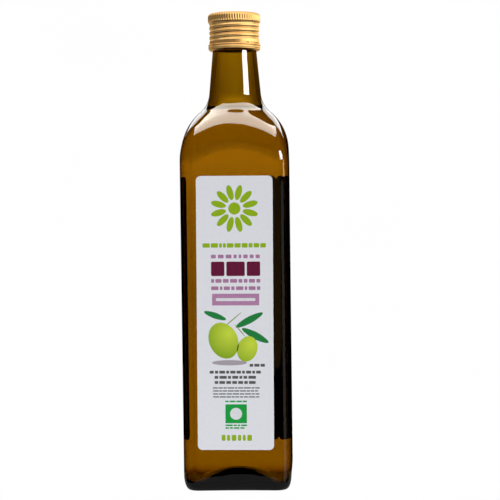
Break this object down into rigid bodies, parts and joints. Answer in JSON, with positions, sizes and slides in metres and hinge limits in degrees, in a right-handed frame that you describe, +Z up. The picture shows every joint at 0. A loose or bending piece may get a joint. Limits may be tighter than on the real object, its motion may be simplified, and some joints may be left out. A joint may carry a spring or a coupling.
{
  "type": "olive oil bottle",
  "caption": "Tall square dark amber glass oil bottle with rounded shoulders and a tapered neck, filled with oil, labelled front and back, shut with a gold screw cap.",
  "frame": {"origin": "centre of the base, on the surface the bottle stands on", "axes": "+Z up along the bottle, -Y out of the front label, +X to the right of the front"},
  "size_m": [0.0652, 0.0664, 0.2896],
  "materials": {
    "amber_glass": "clear dark amber-green container glass, smooth",
    "oil": "clear golden green oil",
    "gold_cap": "gold lacquered spun aluminium, satin",
    "front_paper": "coated white paper with printed fields of colour",
    "back_paper": "coated white paper, plain print"
  },
  "bodies": {
    "root": {"bottle_glass": "amber_glass", "olive_oil": "oil", "screw_cap": "gold_cap", "label_front": "front_paper", "label_back": "back_paper"}
  },
  "joints": []
}
